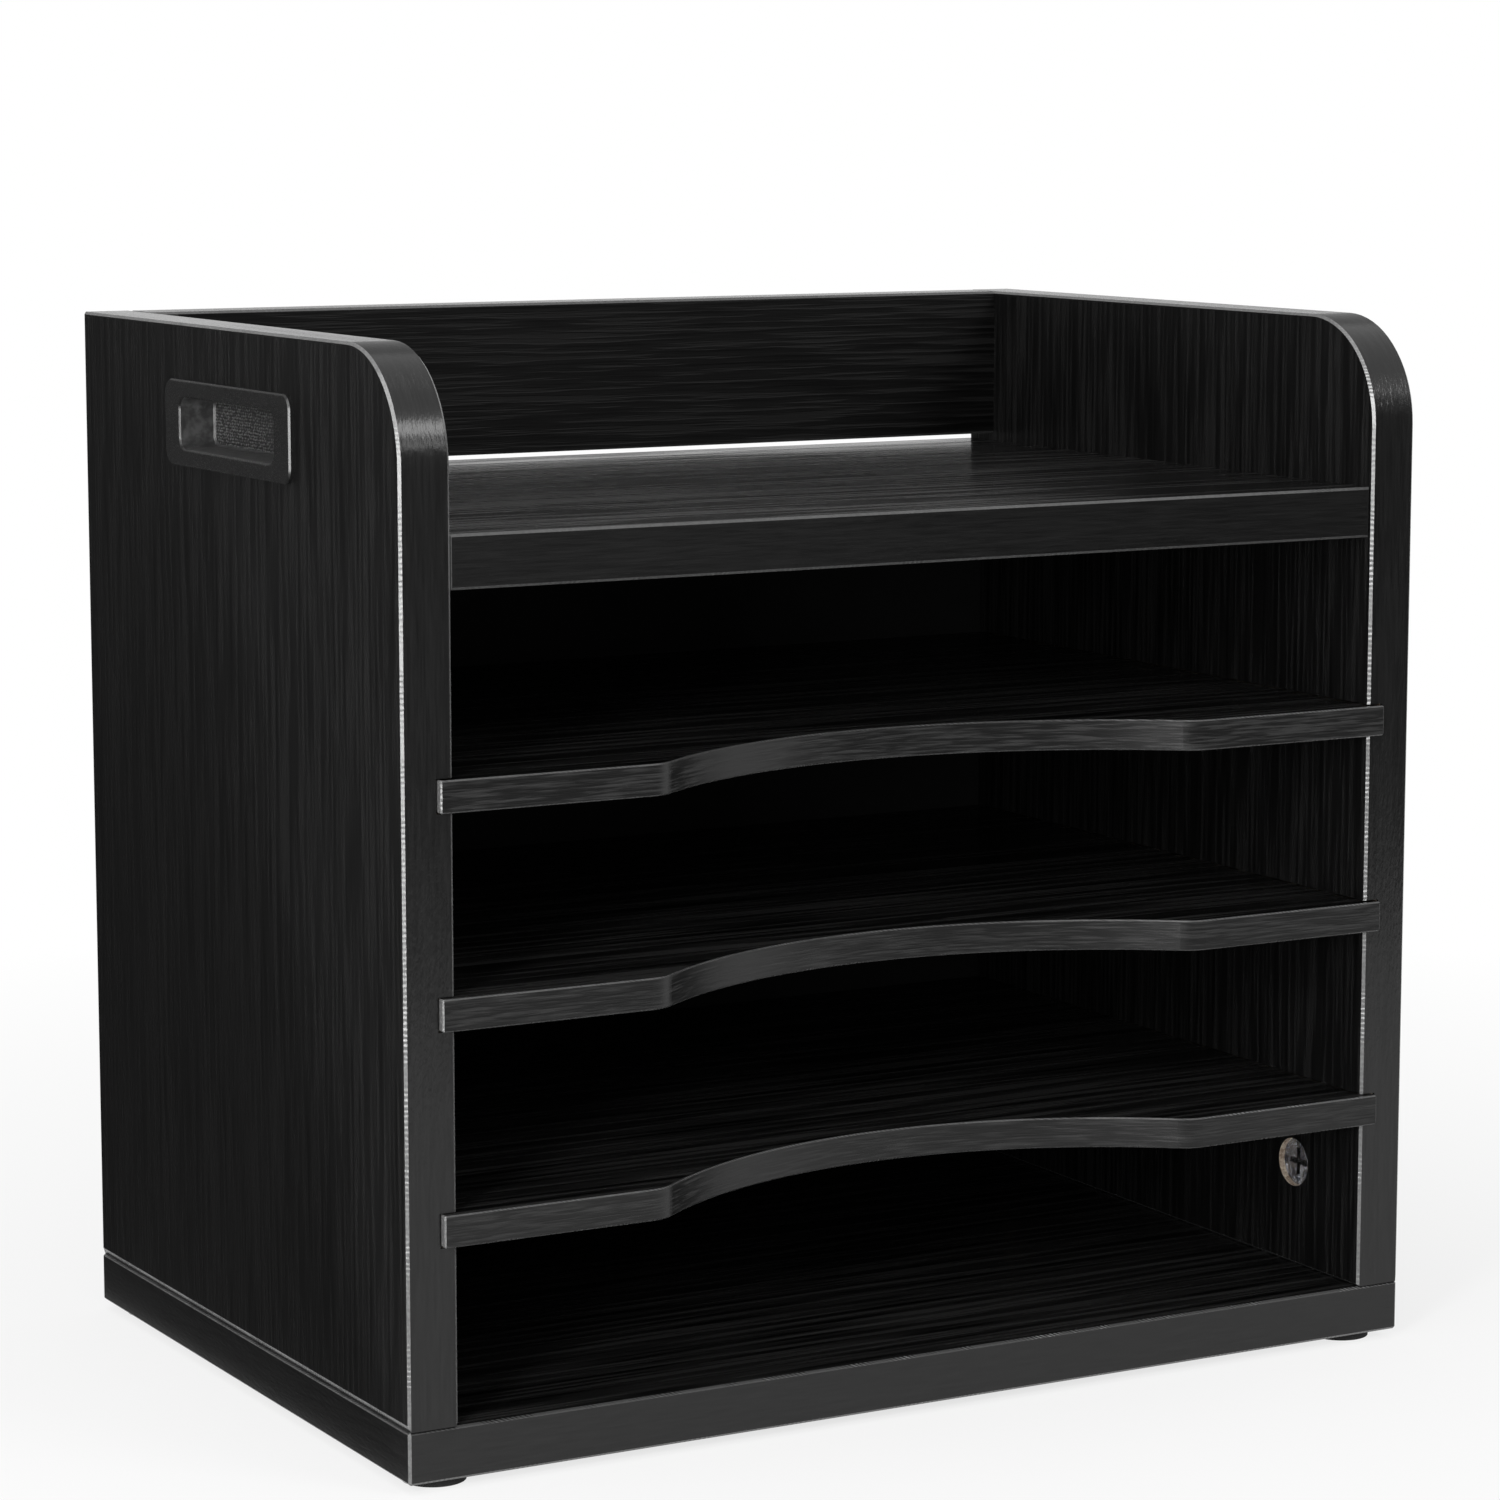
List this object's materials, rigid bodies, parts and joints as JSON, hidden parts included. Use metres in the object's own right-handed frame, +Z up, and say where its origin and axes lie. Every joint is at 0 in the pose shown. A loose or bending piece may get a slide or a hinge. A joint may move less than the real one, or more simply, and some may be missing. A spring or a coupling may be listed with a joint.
{
  "type": "document rack",
  "caption": "Upright desk document rack: board carcass with rounded sides, notched shelves that slide in grooves, an open top tray and recessed side handles.",
  "frame": {"origin": "on the table top, under the centre of the rack's bounding box", "axes": "+X to the right across the width, -Y out of the open front, +Z up"},
  "size_m": [0.3362, 0.228, 0.3115],
  "materials": {
    "black_grain_board": "black wood-grain laminate, fine embossed grain",
    "black_edge_band": "satin black edge banding",
    "black_hardboard": "black painted hardboard",
    "black_moulded_plastic": "satin moulded black plastic",
    "cast_zinc": "die-cast zinc, dull",
    "plated_steel": "zinc-plated steel",
    "beech": "plain beech",
    "black_foam_rubber": "matt black foam rubber"
  },
  "bodies": {
    "carcass": {"base_board": "black_grain_board", "left_side_panel": "black_grain_board", "right_side_panel": "black_grain_board", "top_shelf": "black_grain_board", "back_rail": "black_grain_board", "base_front_band": "black_edge_band", "base_rear_band": "black_edge_band", "base_left_band": "black_edge_band", "base_right_band": "black_edge_band", "left_side_front_band": "black_edge_band", "left_side_rear_band": "black_edge_band", "right_side_front_band": "black_edge_band", "right_side_rear_band": "black_edge_band", "top_shelf_front_band": "black_edge_band", "top_shelf_rear_band": "black_edge_band", "back_rail_top_band": "black_edge_band", "back_panel": "black_hardboard", "left_handle": "black_moulded_plastic", "right_handle": "black_moulded_plastic", "cam_bolts": "plated_steel", "rail_dowels": "beech", "left_front_foot": "black_foam_rubber", "left_rear_foot": "black_foam_rubber", "right_front_foot": "black_foam_rubber", "right_rear_foot": "black_foam_rubber"},
    "lower_shelf_body": {"lower_shelf": "black_grain_board", "lower_shelf_front_band": "black_edge_band"},
    "middle_shelf_body": {"middle_shelf": "black_grain_board", "middle_shelf_front_band": "black_edge_band"},
    "upper_shelf_body": {"upper_shelf": "black_grain_board", "upper_shelf_front_band": "black_edge_band"},
    "base_left_front_cam_body": {"base_left_front_cam": "cast_zinc"},
    "top_shelf_left_front_cam_body": {"top_shelf_left_front_cam": "cast_zinc"},
    "base_left_rear_cam_body": {"base_left_rear_cam": "cast_zinc"},
    "top_shelf_left_rear_cam_body": {"top_shelf_left_rear_cam": "cast_zinc"},
    "rail_left_rear_cam_body": {"rail_left_rear_cam": "cast_zinc"},
    "base_right_front_cam_body": {"base_right_front_cam": "cast_zinc"},
    "top_shelf_right_front_cam_body": {"top_shelf_right_front_cam": "cast_zinc"},
    "base_right_rear_cam_body": {"base_right_rear_cam": "cast_zinc"},
    "top_shelf_right_rear_cam_body": {"top_shelf_right_rear_cam": "cast_zinc"},
    "rail_right_rear_cam_body": {"rail_right_rear_cam": "cast_zinc"}
  },
  "joints": [
    {"name": "lower_shelf_slide", "type": "slide", "parent": "carcass", "child": "lower_shelf_body", "axis": [0, -1, 0], "range_m": [0, 0.21]},
    {"name": "middle_shelf_slide", "type": "slide", "parent": "carcass", "child": "middle_shelf_body", "axis": [0, -1, 0], "range_m": [0, 0.21]},
    {"name": "upper_shelf_slide", "type": "slide", "parent": "carcass", "child": "upper_shelf_body", "axis": [0, -1, 0], "range_m": [0, 0.21]},
    {"name": "base_left_front_cam_turn", "type": "hinge", "parent": "carcass", "child": "base_left_front_cam_body", "pos_m": [-0.1515, -0.078, 0.0495], "axis": [1, 0, 0], "range_deg": [0, 180]},
    {"name": "top_shelf_left_front_cam_turn", "type": "hinge", "parent": "carcass", "child": "top_shelf_left_front_cam_body", "pos_m": [-0.1195, -0.078, 0.2465], "axis": [0, 0, -1], "range_deg": [0, 180]},
    {"name": "base_left_rear_cam_turn", "type": "hinge", "parent": "carcass", "child": "base_left_rear_cam_body", "pos_m": [-0.1515, 0.08, 0.0495], "axis": [1, 0, 0], "range_deg": [0, 180]},
    {"name": "top_shelf_left_rear_cam_turn", "type": "hinge", "parent": "carcass", "child": "top_shelf_left_rear_cam_body", "pos_m": [-0.1195, 0.08, 0.2465], "axis": [0, 0, -1], "range_deg": [0, 180]},
    {"name": "rail_left_rear_cam_turn", "type": "hinge", "parent": "carcass", "child": "rail_left_rear_cam_body", "pos_m": [-0.1195, 0.114, 0.2775], "axis": [0, 1, 0], "range_deg": [0, 180]},
    {"name": "base_right_front_cam_turn", "type": "hinge", "parent": "carcass", "child": "base_right_front_cam_body", "pos_m": [0.1515, -0.078, 0.0495], "axis": [-1, 0, 0], "range_deg": [0, 180]},
    {"name": "top_shelf_right_front_cam_turn", "type": "hinge", "parent": "carcass", "child": "top_shelf_right_front_cam_body", "pos_m": [0.1195, -0.078, 0.2465], "axis": [0, 0, -1], "range_deg": [0, 180]},
    {"name": "base_right_rear_cam_turn", "type": "hinge", "parent": "carcass", "child": "base_right_rear_cam_body", "pos_m": [0.1515, 0.08, 0.0495], "axis": [-1, 0, 0], "range_deg": [0, 180]},
    {"name": "top_shelf_right_rear_cam_turn", "type": "hinge", "parent": "carcass", "child": "top_shelf_right_rear_cam_body", "pos_m": [0.1195, 0.08, 0.2465], "axis": [0, 0, -1], "range_deg": [0, 180]},
    {"name": "rail_right_rear_cam_turn", "type": "hinge", "parent": "carcass", "child": "rail_right_rear_cam_body", "pos_m": [0.1195, 0.114, 0.2775], "axis": [0, 1, 0], "range_deg": [0, 180]}
  ]
}
